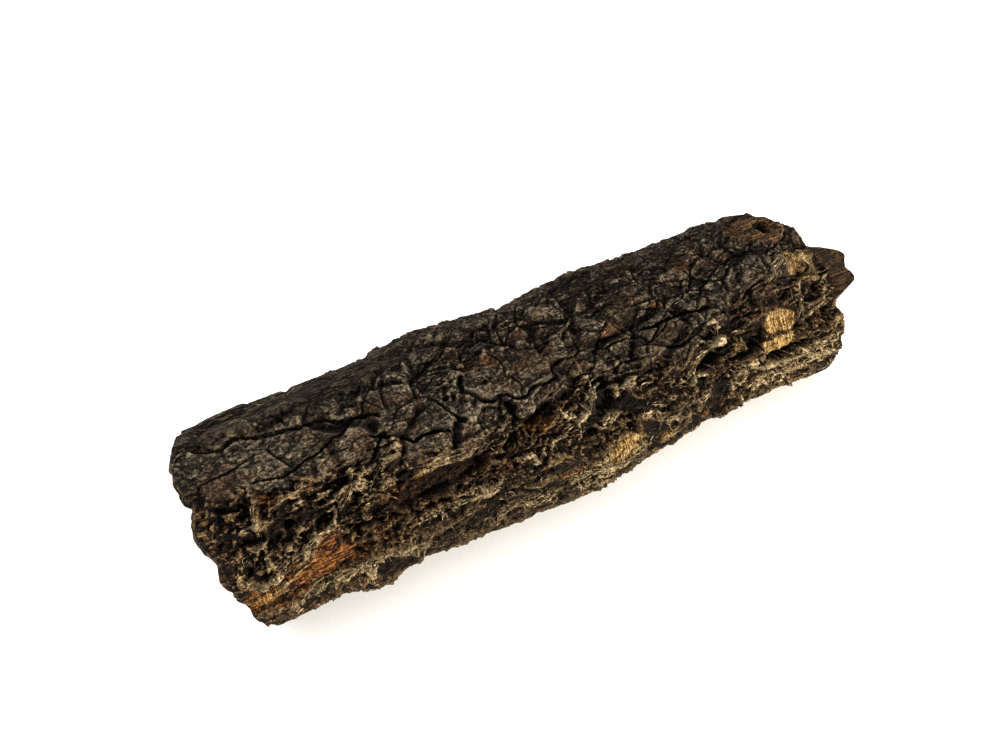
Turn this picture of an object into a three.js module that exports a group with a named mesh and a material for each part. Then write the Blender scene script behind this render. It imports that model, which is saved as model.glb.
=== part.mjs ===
// A cork bark tube: the hollow bark of one cork oak limb, lying on its side.
// Millimetres. X runs along the tube, Y to the back and Z up. The origin lies under the
// middle of the bounding box, on the surface that the tube rests on.
// Angles run round the tube in degrees: 0 faces front, 90 up, 180 back and 270 down.

import * as THREE from "three";
import { mergeVertices } from "three/addons/utils/BufferGeometryUtils.js";

// Driving dimensions.
const LEFT_END = -261;
const RIGHT_END = 142;
const TONGUE_TIP = 262;
const OUTER_RADIUS = 63.5;
const WALL = 14;
const THINNEST_WALL = 6;
const AXIS_HEIGHT = 62;
const AXIS_BACK = 0;

// How finely the surface is divided.
const COLUMNS = 80;
const OUTER_ROWS = 60;
const INNER_ROWS = 8;

// Broad swellings and hollows of the limb: where the middle lies, how far the form reaches
// along the tube and round it, and how much it adds to the radius.
const SWELLS = [
  { x: -45, angle: -26, reach: 45, spread: 42, height: 4.5 },
  { x: 95, angle: -24, reach: 80, spread: 46, height: -6.5 },
  { x: -205, angle: -22, reach: 75, spread: 40, height: -4 },
  { x: -183, angle: -23, reach: 13, spread: 12, height: 5 },
  { x: -104, angle: 140, reach: 36, spread: 36, height: 5.5 },
  { x: 5, angle: 140, reach: 46, spread: 40, height: 4 },
  { x: 78, angle: 140, reach: 40, spread: 38, height: 5.5 },
  { x: 118, angle: 128, reach: 30, spread: 34, height: 3 },
  { x: -30, angle: 205, reach: 160, spread: 50, height: 2.5 },
];

// The rim of each end: angle round the tube and how far along it the bark reaches there.
// On the right the wall is broken off aslant, and low at the back it runs on as a short tongue.
const LEFT_RIM = [
  [-25, LEFT_END + 13],
  [0, LEFT_END + 9],
  [20, LEFT_END + 4],
  [40, LEFT_END + 2],
  [60, LEFT_END],
  [75, LEFT_END + 1],
  [95, LEFT_END - 1],
  [125, LEFT_END - 1],
  [165, LEFT_END + 8],
  [205, LEFT_END + 2],
  [245, LEFT_END + 9],
  [290, LEFT_END + 3],
];
const RIGHT_RIM = [
  [-12, RIGHT_END + 11],
  [15, RIGHT_END + 6],
  [25, RIGHT_END + 7],
  [45, RIGHT_END],
  [75, RIGHT_END],
  [88, RIGHT_END - 4],
  [97, RIGHT_END - 1],
  [110, RIGHT_END - 8],
  [128, RIGHT_END - 4],
  [140, RIGHT_END + 3],
  [155, RIGHT_END + 18],
  [170, RIGHT_END + 36],
  [182, RIGHT_END + 55],
  [194, RIGHT_END + 70],
  [206, RIGHT_END + 85],
  [214, TONGUE_TIP - 14],
  [220, TONGUE_TIP - 2],
  [229, TONGUE_TIP],
  [234, TONGUE_TIP - 8],
  [242, TONGUE_TIP - 2],
  [250, TONGUE_TIP],
  [254, TONGUE_TIP - 8],
  [258, RIGHT_END + 90],
  [272, RIGHT_END + 80],
  [290, RIGHT_END + 66],
  [302, RIGHT_END + 50],
  [314, RIGHT_END + 36],
  [330, RIGHT_END + 20],
];
const RAGGED_RIM = 2.5;
// The rows of points follow a rim near its end and straighten with this power further in.
const RIM_FADE = 3;

// Bare patches where outer bark has come away, and plates that stand proud. Each is an oval
// of the given length and width at a place on the tube, turned by a slant, with its level
// against the even surface and how much of the bark's own relief is left on it.
const PATCHES = [
  { x: -218, angle: 20, length: 74, width: 25, slant: 12, level: -5, rough: 0.2 },
  { x: -138, angle: 39, length: 84, width: 20, slant: 4, level: -6, rough: 0.25 },
  { x: 96, angle: 46, length: 32, width: 20, slant: 8, level: -4.5, rough: 0.2 },
  { x: 90, angle: 31, length: 26, width: 12, slant: 8, level: -4, rough: 0.3 },
  { x: -28, angle: 17, length: 34, width: 13, slant: 10, level: -4, rough: 0.3 },
  { x: 116, angle: 26, length: 56, width: 9, slant: 12, level: -6, rough: 0.3 },
  { x: 76, angle: 40, length: 14, width: 24, slant: 0, level: -6, rough: 0.3 },
  { x: -33, angle: 46, length: 13, width: 20, slant: 0, level: -6, rough: 0.3 },
  { x: 128, angle: 72, length: 18, width: 16, slant: 0, level: -2, rough: 0.3 },
  { x: -222, angle: 80, length: 96, width: 46, slant: 0, level: 0.5, rough: 0.25 },
  { x: -82, angle: 75, length: 72, width: 31, slant: 6, level: 4, rough: 0.3 },
  { x: -147, angle: 72, length: 62, width: 28, slant: 4, level: 2.5, rough: 0.4 },
  { x: 124, angle: 98, length: 40, width: 30, slant: 0, level: 2, rough: 0.3 },
  { x: 123, angle: 108, length: 10, width: 10, slant: 0, level: -6, rough: 0 },
];

// The bark's relief over the whole tube.
const BROAD = { length: 95, around: 8, height: 1.8, seed: 11 };
const FURROWS = { length: 64, around: 24, height: 2.4, seed: 23 };
const PLATES = { length: 28, around: 15, height: 6.6, crack: 0.32, seed: 37 };
const LEAN = { length: 46, around: 8, shift: 9, turn: 6, seed: 53 };
const INNER_GROOVES = { length: 150, around: 20, height: 1.3, seed: 71 };
const RIM_CHIPS = { length: 40, around: 24, seed: 83 };
const DEEPEST = -6.5;
const HIGHEST = 4.8;

const BARK_COLOUR = 0x54443a;
const BARK_ROUGHNESS = 0.92;

const { lerp, smoothstep, degToRad, euclideanModulo } = THREE.MathUtils;

// A repeatable random number from 0 to 1 for one cell of a grid.
function cellRandom(column, row, seed) {
  let mixed = Math.imul(column, 374761393) + Math.imul(row, 668265263);
  mixed = (mixed + Math.imul(seed, 974634541)) | 0;
  mixed = Math.imul(mixed ^ (mixed >>> 13), 1274126177);
  mixed ^= mixed >>> 16;
  return (mixed >>> 0) / 4294967296;
}

// Smooth noise from -1 to 1 that joins up round the tube.
function noise(x, angle, { length, around, seed }) {
  const u = x / length;
  const v = (angle / 360) * around;
  const i = Math.floor(u);
  const j = Math.floor(v);
  const s = smoothstep(u - i, 0, 1);
  const t = smoothstep(v - j, 0, 1);
  const corner = (di, dj) => cellRandom(i + di, euclideanModulo(j + dj, around), seed);
  const near = lerp(corner(0, 0), corner(1, 0), s);
  const far = lerp(corner(0, 1), corner(1, 1), s);
  return lerp(near, far, t) * 2 - 1;
}

// Bark plates are the cells round scattered points. The height is low along the cracks
// between them, and each plate stands at a level of its own.
function plateHeight(x, angle, { length, around, height, crack, seed }) {
  const u = x / length;
  const v = (angle / 360) * around;
  let nearest = Infinity;
  let second = Infinity;
  let level = 0;
  for (let i = Math.floor(u) - 1; i <= Math.floor(u) + 1; i += 1) {
    for (let j = Math.floor(v) - 1; j <= Math.floor(v) + 1; j += 1) {
      const wrapped = euclideanModulo(j, around);
      const du = i + cellRandom(i, wrapped, seed) - u;
      const dv = j + cellRandom(i, wrapped, seed + 1) - v;
      const distance = Math.hypot(du, dv);
      if (distance < nearest) {
        second = nearest;
        nearest = distance;
        level = cellRandom(i, wrapped, seed + 2);
      } else if (distance < second) {
        second = distance;
      }
    }
  }
  const rise = smoothstep(second - nearest, 0, crack);
  return height * (rise * lerp(0.3, 1, level) - 0.5);
}

// The shorter way round from one angle to another.
function turnBetween(from, to) {
  return euclideanModulo(to - from + 180, 360) - 180;
}

// How far along the tube a rim reaches at an angle, read straight between its points.
function rimAt(rim, angle) {
  const wrapped = euclideanModulo(angle - rim[0][0], 360) + rim[0][0];
  for (let i = 0; i < rim.length; i += 1) {
    const [startAngle, start] = rim[i];
    const [nextAngle, next] = rim[(i + 1) % rim.length];
    const endAngle = i + 1 < rim.length ? nextAngle : nextAngle + 360;
    if (wrapped <= endAngle) {
      return lerp(start, next, (wrapped - startAngle) / (endAngle - startAngle));
    }
  }
  return rim[0][1];
}

// The limb's radius before any bark relief.
function limbRadius(x, angle) {
  let radius = OUTER_RADIUS;
  for (const swell of SWELLS) {
    const along = (x - swell.x) / swell.reach;
    const round = turnBetween(swell.angle, angle) / swell.spread;
    radius += swell.height * Math.exp(-along * along - round * round);
  }
  return radius;
}

// How far a point lies inside a patch: 1 well inside, 0 outside.
function insidePatch(patch, x, angle) {
  const along = x - patch.x;
  const round = degToRad(turnBetween(patch.angle, angle)) * OUTER_RADIUS;
  const slant = degToRad(patch.slant);
  const a = (along * Math.cos(slant) + round * Math.sin(slant)) / (patch.length / 2);
  const b = (round * Math.cos(slant) - along * Math.sin(slant)) / (patch.width / 2);
  return 1 - smoothstep(Math.hypot(a, b), 0.75, 1.15);
}

// The bark's relief: ridges, furrows and plates, with the named patches laid over them.
function barkRelief(x, angle) {
  const leanX = x + LEAN.shift * noise(x, angle, LEAN);
  const leanAngle = angle + LEAN.turn * noise(x + LEAN.length / 2, angle, LEAN);
  let relief = BROAD.height * noise(x, angle, BROAD);
  relief += FURROWS.height * noise(leanX, leanAngle, FURROWS);
  relief += plateHeight(leanX, leanAngle, PLATES);
  for (const patch of PATCHES) {
    const inside = insidePatch(patch, x, angle);
    relief = lerp(relief, patch.level + patch.rough * relief, inside);
  }
  return THREE.MathUtils.clamp(relief, DEEPEST, HIGHEST);
}

function outerRadius(x, angle) {
  return limbRadius(x, angle) + barkRelief(x, angle);
}

function innerRadius(x, angle) {
  const grooves = INNER_GROOVES.height * noise(x, angle, INNER_GROOVES);
  return Math.min(limbRadius(x, angle) - WALL + grooves, outerRadius(x, angle) - THINNEST_WALL);
}

// The section that is swept round the tube: along the outside from right to left, over the
// left rim, back along the inside and over the right rim to where it began.
function sectionRows() {
  const rows = [];
  for (let i = OUTER_ROWS; i >= 0; i -= 1) {
    rows.push({ along: i / OUTER_ROWS, depth: 0, rim: 0 });
  }
  rows.push({ along: 0, depth: 0.5, rim: -1 });
  for (let i = 0; i <= INNER_ROWS; i += 1) {
    rows.push({ along: i / INNER_ROWS, depth: 1, rim: 0 });
  }
  rows.push({ along: 1, depth: 0.5, rim: 1 });
  rows.push(rows[0]);
  return rows;
}

// A point of the bark, where depth 0 is the outside and depth 1 the inside of the wall.
function barkPoint(row, angle) {
  const chip = RAGGED_RIM * noise(row.depth * RIM_CHIPS.length, angle, RIM_CHIPS);
  const left = rimAt(LEFT_RIM, angle) + chip - LEFT_END;
  const right = rimAt(RIGHT_RIM, angle) - chip - RIGHT_END;
  const even = lerp(LEFT_END, RIGHT_END, row.along) + row.rim * RAGGED_RIM;
  const x = even + left * (1 - row.along) ** RIM_FADE + right * row.along ** RIM_FADE;
  const radius = lerp(outerRadius(x, angle), innerRadius(x, angle), row.depth);
  const turn = degToRad(angle);
  const y = AXIS_BACK - radius * Math.cos(turn);
  const z = AXIS_HEIGHT + radius * Math.sin(turn);
  return new THREE.Vector3(x, y, Math.max(z, 0));
}

function barkGeometry() {
  const rows = sectionRows();
  const section = rows.map(({ along, depth }) => new THREE.Vector2(OUTER_RADIUS - depth * WALL, along));
  const geometry = new THREE.LatheGeometry(section, COLUMNS);
  const position = geometry.getAttribute("position");
  for (let column = 0; column <= COLUMNS; column += 1) {
    const angle = ((column % COLUMNS) / COLUMNS) * 360;
    rows.forEach((row, i) => {
      const point = barkPoint(row, angle);
      position.setXYZ(column * rows.length + i, point.x, point.y, point.z);
    });
  }
  geometry.deleteAttribute("normal");
  geometry.deleteAttribute("uv");
  const closed = mergeVertices(geometry, 1e-4);
  closed.computeVertexNormals();
  return closed;
}

const bark = new THREE.Mesh(
  barkGeometry(),
  new THREE.MeshStandardMaterial({
    color: BARK_COLOUR,
    roughness: BARK_ROUGHNESS,
    metalness: 0,
  }),
);
bark.name = "bark_tube";

const tube = new THREE.Group();
tube.add(bark);

export default tube;
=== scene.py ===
"""The looks of a cork bark tube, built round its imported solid.

The bark is four closed lengths that meet end to end: the limb, rims and relief of the solid,
sampled far more finely, with flakes, crumbs, cracks and bare cork on it, and thin strands of cork
over it. Values are in millimetres and in degrees round the tube, where 0 faces front, 90 up,
180 back and 270 down. X runs along the tube.
"""

import math

import bpy
import numpy as np
from mathutils import Matrix, Vector


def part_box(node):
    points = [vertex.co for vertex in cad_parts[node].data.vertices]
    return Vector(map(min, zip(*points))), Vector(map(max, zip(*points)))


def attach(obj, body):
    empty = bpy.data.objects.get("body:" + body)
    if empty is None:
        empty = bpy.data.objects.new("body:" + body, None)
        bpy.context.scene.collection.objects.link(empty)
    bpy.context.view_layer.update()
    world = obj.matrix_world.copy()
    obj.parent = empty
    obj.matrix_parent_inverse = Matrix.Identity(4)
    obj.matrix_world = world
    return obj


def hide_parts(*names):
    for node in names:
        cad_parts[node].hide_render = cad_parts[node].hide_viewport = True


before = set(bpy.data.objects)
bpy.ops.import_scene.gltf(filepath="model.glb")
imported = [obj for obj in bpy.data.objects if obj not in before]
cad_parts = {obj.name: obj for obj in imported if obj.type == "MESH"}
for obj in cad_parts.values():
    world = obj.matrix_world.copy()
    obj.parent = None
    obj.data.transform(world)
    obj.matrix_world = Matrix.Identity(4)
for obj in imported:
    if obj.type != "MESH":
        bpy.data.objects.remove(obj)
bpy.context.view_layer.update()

NODE = "bark_tube"
BODY = "root"
MM = 0.001
tube_low, tube_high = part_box(NODE)

# The limb, as in the part's source. The rims' chips reach a little past both ends.
TONGUE_LENGTH = 120
LEFT_END = round(tube_low.x / MM) + 5
TONGUE_TIP = math.floor(tube_high.x / MM) - 2
RIGHT_END = TONGUE_TIP - TONGUE_LENGTH
OUTER_RADIUS = 63.5
WALL = 14
THINNEST_WALL = 6
AXIS_HEIGHT = 62
ROUND = 2 * math.pi * OUTER_RADIUS

# How finely the mesh is divided. Columns lie closest on the front and top, which show most.
COLUMNS = 500
OUTER_ROWS = 660
INNER_ROWS = 60
RIM_ROWS = 14
CUT_ROWS = 2
LENGTHS = 4
ANGLE_STEPS = 3600
COLUMN_SHARES = [(-45, 1.35), (150, 1.35), (165, 0.9), (225, 0.9), (240, 0.4), (300, 0.4), (315, 1.35)]

SHARP_ANGLE = math.radians(38)
SEED = 20

# Strands of cork: how many, how long, how thick, how far they bend, stray and rise, and how
# high above the floor they start.
STRANDS_LAID = 4600
STRANDS_A_STRING = 18
STRAND_POINTS = 6
STRAND_SIDES = 3
STRAND_LENGTH = (2.5, 10)
STRAND_BEND = 0.3
STRING_LENGTH = (10, 28)
STRING_SPREAD = 0.9
STRING_WANDER = 0.8
STRAND_RADIUS = 0.15
THICKER_STRAND = 0.3
ROPY_STRAND = 1.2
STRAND_LIFT = 0.5
FLOOR_CLEARANCE = 2

# Where strands are ropy, laid thickly or thinly, level and bright: from and to, along X or up Z.
ROPY_X = (10, 70)
ROPY_Z = (94, 72)
MORE_STRANDS_X = (60, 135)
FEWER_STRANDS_Z = (84, 98)
LEVEL_STRANDS_Z = (70, 30)
BRIGHT_STRINGS_X = (30, 90)


def table(names, *rows):
    """Rows of values under these names. A row may leave out names at the end."""
    return [dict(zip(names.split(), row)) for row in rows]


# Swells and hollows of the limb.
SWELLS = table(
    "x angle reach spread height",
    (-45, -26, 45, 42, 4.5), (95, -24, 80, 46, -6.5), (-205, -22, 75, 40, -4),
    (-183, -23, 13, 12, 5), (-104, 140, 36, 36, 5.5), (5, 140, 46, 40, 4),
    (78, 140, 40, 38, 5.5), (118, 128, 30, 34, 3), (-30, 205, 160, 50, 2.5),
)

# How far along the tube each rim reaches past its end, by angle.
LEFT_RIM = [(angle, LEFT_END + reach) for angle, reach in (
    (-25, 13), (0, 9), (20, 4), (40, 2), (60, 0), (75, 1),
    (95, -1), (125, -1), (165, 8), (205, 2), (245, 9), (290, 3),
)]
RIGHT_RIM = [(angle, RIGHT_END + reach) for angle, reach in (
    (-12, 11), (15, 6), (25, 7), (45, 0), (75, 0), (88, -4), (97, -1),
    (110, -8), (128, -4), (140, 3), (155, 18), (170, 36), (182, 55), (194, 70),
    (206, 85), (214, 106), (220, 118), (229, 120), (234, 112), (242, 118), (250, 120),
    (254, 112), (258, 90), (272, 80), (290, 66), (302, 50), (314, 36), (330, 20),
)]
RAGGED_RIM = 2.5
RIM_FADE = 3
RIM_SMOOTHING = (-4, -2.5, -1, 1, 2.5, 4)

# Patches where something else shows; pits and holes are painted near black as shade. Level and
# rough say how high each lies and how much of the solid's relief it has; keep, strength and ragged
# stand in for the values of its kind.
PATCHES = table(
    "shows x angle length width slant level rough keep strength ragged",
    ("orange", -219, 19.5, 88, 29, 12, -5, 0.2),
    ("red", -143, 39, 66, 15, 6, -6, 0.25),
    ("gold", -24, 10.5, 32, 13, 6, -3, 0.3, 0.4),
    ("pit", 108, 24.5, 64, 8, 2, -9, 0.3),
    ("pit", 74, 43, 19, 24, -10, -9, 0.3),
    ("pit", -33, 47, 11, 18, 0, -6, 0.3),
    ("pit", 41, 40, 16, 12, 0, -6, 0.3),
    ("pit", -159, 50, 12, 9, 0, -6, 0.3),
    ("hole", -221, 50, 6, 6, 0, -8, 0),
    ("plate", -222, 88, 96, 33, 0, 0.5, 0.25, 0.18),
    ("plate", -82, 75, 72, 31, 6, 4, 0.3, 0.34, 0),
    ("plate", -147, 72, 62, 28, 4, 2.5, 0.4, 0.34, 0),
    ("knot", 120, 104, 34, 30, 0, 2.5, 0.2),
    ("hole", 123, 103, 12, 14, 0, -9, 0),
    ("gold", 126, 72, 22, 17, -30, 0, 0.4, 0.8, 0.6, 1.8),
    ("red", 98, 50, 62, 30, 0, -3.5, 0.3),
    ("gold", 97, 46, 25, 20, -14, -2.5, 0.2),
    ("gold", 94, 31, 26, 12, -12, -2.5, 0.3),
)

# By kind: how ragged a patch's edge is, where it starts to fade, and how much detail it keeps.
PATCH_KINDS = dict(
    orange=dict(ragged=1.5, fade=0.65, keep=0.2),
    red=dict(ragged=1.6, fade=0.6, keep=0.45),
    gold=dict(ragged=0.5, fade=0.86, keep=0.2),
    plate=dict(ragged=1.7, fade=0.86, keep=0.34),
    knot=dict(ragged=1, fade=0.86, keep=0.1),
    pit=dict(ragged=1.3, fade=0.7, keep=0.6),
    hole=dict(ragged=0.3, fade=0.6, keep=0.1),
)
PATCH_END = 1.05
PATCH_COLOURS = ("orange", "red", "gold", "plate", "knot")
PATCH_EDGE = dict(length=16, around=26, height=0.3, seed=221)
PATCH_STREAKS = dict(length=24, around=140, seed=231)

# Stains of another colour, where their edges fade out and how ragged they are.
STAIN_EDGE = (1.1, 0.6)
RAGGED_STAIN = 2
STAINS = table(
    "x angle length width slant shows strength",
    (-76, 48, 18, 7, 0, "orange", 0.75), (-92, 85, 10, 7, 0, "orange", 0.5),
    (108, 109, 24, 16, -20, "orange", 1.0), (-225, 64, 8, 5, 0, "orange", 0.7),
    (-234, 61, 4, 9, 20, "orange", 0.6), (57, 99, 18, 7, 0, "orange", 0.45),
    (23, 84, 14, 7, 0, "orange", 0.4), (-12, 78, 14, 6, 0, "orange", 0.4),
    (-172, 40, 12, 5, 0, "orange", 0.8), (-150, 45, 34, 4, 4, "orange", 0.5),
    (-136, 48, 30, 5, 0, "gold", 0.45), (-238, 15, 26, 12, 14, "gold", 0.5),
    (144, 28, 12, 9, 0, "gold", 0.5), (-60, 12, 30, 6, 8, "orange", 0.5),
    (36, 4, 26, 6, 2, "orange", 0.7), (11, 2, 26, 8, 0, "gold", 0.75),
    (-50, -18, 36, 7, -10, "gold", 0.5), (-120, 40, 26, 5, 4, "orange", 0.4),
    (82, 92, 12, 6, 0, "orange", 0.4),
)

# Stringy cork drawn as paths of (x, angle) that strands lie along.
STRINGS = [
    [(117, 79), (112, 76), (107, 74), (100, 71), (94, 68)],
    [(143, 80), (144, 70), (143, 61), (143, 52), (142, 44)],
    [(136, 90), (140, 80), (145, 70), (147, 60)],
    [(119, 62), (118, 53), (119, 43), (110, 38)],
    [(139, 52), (132, 47), (124, 43), (119, 43)],
    [(76, 21), (90, 16), (103, 15), (123, 16), (144, 19)],
    [(84, 16), (100, 11), (120, 9), (142, 14)],
    [(64, 10), (84, 5), (104, 2), (126, 2), (146, 6)],
    [(40, 4), (60, -2), (84, -5), (110, -6), (140, -4)],
    [(120, 80), (130, 76), (137, 72), (136, 64), (126, 62)],
    [(-246, 26), (-230, 33), (-214, 36), (-198, 40)],
    [(-242, 12), (-224, 27), (-205, 33)],
    [(-165, 22), (-148, 20), (-130, 21), (-112, 25)],
    [(-232, 64), (-236, 60), (-234, 55), (-238, 50)],
    [(-183, 60), (-186, 54), (-195, 49)],
    [(-236, 3), (-215, 9), (-190, 6), (-160, 0)],
    [(-157, 70), (-161, 61), (-170, 58), (-176, 50)],
    [(-151, 50), (-138, 50), (-128, 49), (-118, 46)],
    [(47, 61), (53, 53), (45, 46), (32, 43), (21, 31)],
    [(-41, 62), (-36, 53), (-42, 43), (-57, 39), (-77, 32)],
    [(-60, 8), (-40, 2), (-15, 4)],
]

# Relief that the solid has too.
BROAD = dict(length=95, around=8, height=1.8, seed=11)
FURROWS = dict(length=64, around=24, height=2.4, seed=23)
PLATES = dict(length=28, around=15, height=6.6, crack=0.32, seed=37)
LEAN = dict(length=46, around=8, shift=9, turn=6, seed=53)
INNER_GROOVES = dict(length=150, around=20, height=1.3, seed=71)
RIM_CHIPS = dict(length=40, around=24, seed=83)
SOLID_DEEPEST = -9
DEEPEST = -10
HIGHEST = 6

# Finer relief. Each finer octave of noise has this share of the height of the one before.
FINER_SHARE = 0.55
WARPS = table(
    "length around shift turn seed",
    (34, 14, 5.0, 4.5, 101), (12, 34, 2.2, 2.0, 103), (5, 84, 0.9, 0.8, 105),
)
FLAKES = table(
    "length around thick gap lip seed",
    (33, 18, 2.4, 0.07, 0.5, 111), (19, 27, 2.1, 0.1, 0.45, 121),
    (9, 52, 0.8, 0.14, 0.2, 131), (4.6, 100, 0.45, 0.2, 0.1, 141),
)
FLAKE_BASE = -2.6
FLAKE_EDGE = 0.02
FLAKE_LEVEL = 0.25
FLAKE_LEAN = 0.7
LIP_INSET = 0.05
LIP_WIDTH = 0.08
SCURF = dict(length=10, around=60, height=0.8, seed=145)
CRUMB_BASE = -2.9
CRUMB_RIDGES = table(
    "length around height sharp seed",
    (25, 26, 3.4, 2.3, 151), (11, 54, 2.5, 2.3, 155), (5, 112, 1.4, 2.2, 158),
)
CHIPS = table(
    "length around height seed",
    (12, 46, 2.8, 161), (5.6, 90, 1.9, 166), (3, 168, 1.0, 186),
)
SMALL_CHIPS = dict(length=2.0, around=260, height=0.35, seed=191)
PITS = dict(length=34, around=26, depth=3.0, edge=(0.36, 0.6), fades=(46, 54), loss=0.8, seed=171)
FIBRE_BASE = -1.6
FIBRE_SHARPNESS = 1.8
FIBRES = table("length around height seed", (95, 58, 2.6, 181), (60, 120, 1.3, 182))
ROPE_PITS = dict(length=13, around=66, depth=3.2, edge=(0.08, 0.26), foot=(-45, -30),
                 top=(24, 12), shade=0.9, seed=187)
LINING_RIBS = dict(length=80, around=60, height=0.9, seed=241)
RIM_ROUGHNESS = table("length around height seed", (4, 90, 1.6, 251), (7, 40, 1.4, 252))

# Where each kind of bark lies: angles from and to which it comes in or fades out.
FRONT_EDGE = dict(length=24, around=16, turn=10, below=10, above=8, seed=211)
FRONT_FOOT = (-75, -50)
BACK_EDGE = (170, 145)
MIXING = dict(length=120, around=5, furrows=0.4, edge=(-0.25, 0.35), share=0.85, seed=201)
TOP_FIBRES = dict(foot=(98, 110), top=(185, 160), wander=40, along=(-110, -190))
LOW_FIBRES = dict(length=50, around=12, mean=0.55, swing=0.4, foot=(-70, -45), top=(26, 8), seed=213)
FEWER_FIBRES = dict(along=(0, 50), loss=0.8)
LOWEST_FIBRES = dict(top=(-8, -30), share=0.85)

# Where the relief is calmer: both skylines and the foot, by angle, fade and loss; and the rims.
CALM_BANDS = [(134, (30, 12), 0.4), (-44, (32, 14), 0.6), (270, (48, 28), 0.65)]
LEAST_RELIEF = 0.3
CALM_RIM = dict(fade=(12, 1), loss=0.5)

# How much of the solid's relief shows under flakes and under crumbs.
SOLID_SHARES = (0.8, 0.45)

# Hollows and crests, judged against the mean relief within a reach of so many points: the rise
# or drop at which each starts and is full, and its weight. The material paints the hollows dark as
# painted shade and the crests lighter as painted highlight.
RELIEF_WINDOWS = table(
    "reach deep deep_weight crest crest_weight",
    (3, (0.1, 1.1), 0.45, (0.0, 0.7), 0.45),
    (8, (0.3, 2.2), 0.5, (0.1, 1.8), 0.4),
    (20, (0.8, 4.5), 0.5, (0.3, 3), 0.35),
)

# Cracks and grooves drawn one by one: depth, half width and points of (x, angle).
CRACKS = [
    (4.0, 1.7, [(-262, 109), (-252, 102), (-242, 100), (-231, 103),
                (-221, 99), (-209, 96), (-192, 95), (-180, 91), (-160, 83)]),
    (2.8, 0.7, [(-253, 82), (-244, 83), (-238, 83), (-232, 85),
                (-227, 87), (-222, 88)]),
    (3.2, 0.8, [(-226, 74), (-217, 73), (-211, 72), (-206, 74), (-200, 77),
                (-193, 79), (-183, 82), (-178, 83), (-172, 86)]),
    (1.8, 0.6, [(-214, 89), (-209, 82), (-206, 76)]),
    (5.0, 1.3, [(-110, 82), (-113, 77), (-113, 72), (-108, 68), (-99, 67),
                (-90, 65)]),
    (3.2, 1.0, [(-90, 65), (-84, 64), (-74, 65), (-56, 63)]),
    (1.6, 0.7, [(-88, 88), (-84, 80), (-86, 74), (-80, 69)]),
    (3.2, 1.0, [(-128, 80), (-123, 73), (-122, 69), (-118, 64)]),
    (3.8, 1.2, [(-166, 76), (-153, 69), (-149, 64), (-138, 65), (-129, 65)]),
    (4.5, 1.6, [(4, 74), (19, 73), (28, 71), (41, 69), (52, 68), (62, 63)]),
    (4.0, 1.6, [(-199, 29), (-180, 29), (-160, 27), (-138, 28)]),
    (3.5, 1.3, [(-70, 115), (-52, 116), (-36, 115), (-20, 112)]),
    (3.0, 1.1, [(-97, 103), (-80, 101), (-61, 99), (-44, 97)]),
    (4.0, 1.4, [(-214, -2), (-200, -3), (-183, -10), (-170, -4)]),
    (2.6, 3.0, [(-193, 97), (-189, 91), (-183, 87), (-175, 86), (-164, 79)]),
]
CRACK_EDGE = (1.2, 0.3)

# How high up the crumbly front reaches along the tube: points of (x, angle).
FRONT_TOP = [(-262, 82), (-250, 77), (-236, 73), (-212, 70), (-190, 66), (-150, 60), (-100, 54), (-40, 57),
             (0, 51), (40, 53), (60, 57), (105, 65), (142, 92)]

# Where cream cork shows, and how much of it.
CREAM_AREAS = table(
    "x angle length width amount",
    (-213, 60, 16, 16, 0.4), (-220, 36, 60, 10, 0.5), (-175, 55, 22, 18, 0.55), (-160, 65, 16, 14, 0.5),
    (-136, 48, 40, 7, 0.7), (-130, 22, 60, 12, 0.9), (-200, 5, 90, 14, 1.0), (-88, 31, 12, 9, 1.0),
    (-40, 52, 22, 14, 0.8), (-50, 42, 30, 8, 0.8), (-58, 34, 44, 8, 0.7), (-22, 46, 24, 7, 0.8),
    (-36, 34, 26, 8, 0.7), (-38, 4, 60, 22, 1.0), (44, 50, 22, 14, 0.8), (28, 36, 22, 12, 0.9),
    (20, 14, 44, 16, 0.7), (64, 26, 40, 14, 0.7), (112, 4, 80, 22, 1.0), (122, 17, 50, 7, 1.0),
    (116, 50, 10, 24, 0.6), (126, 72, 18, 14, 0.5), (138, 52, 12, 34, 0.6), (104, 72, 26, 5, 0.6),
    (140, 100, 10, 30, 0.5), (-100, 0, 60, 12, 0.7), (-246, 20, 16, 20, 0.8),
    (-240, 56, 22, 14, 0.4), (-205, 50, 22, 14, 0.4), (-236, 44, 18, 12, 0.4), (-220, 44, 14, 10, 0.5),
    (-250, 38, 12, 16, 0.5), (-196, 57, 14, 8, 0.7), (-50, -2, 20, 14, 1.0), (0, 27, 28, 9, 0.9),
    (56, 20, 26, 14, 0.9), (139, 24, 14, 20, 0.9),
)
CREAM_ELSEWHERE = 0.12
CREAM_BEHIND = 0.6
CREAM_EDGE = (1.3, 0.6)
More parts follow.
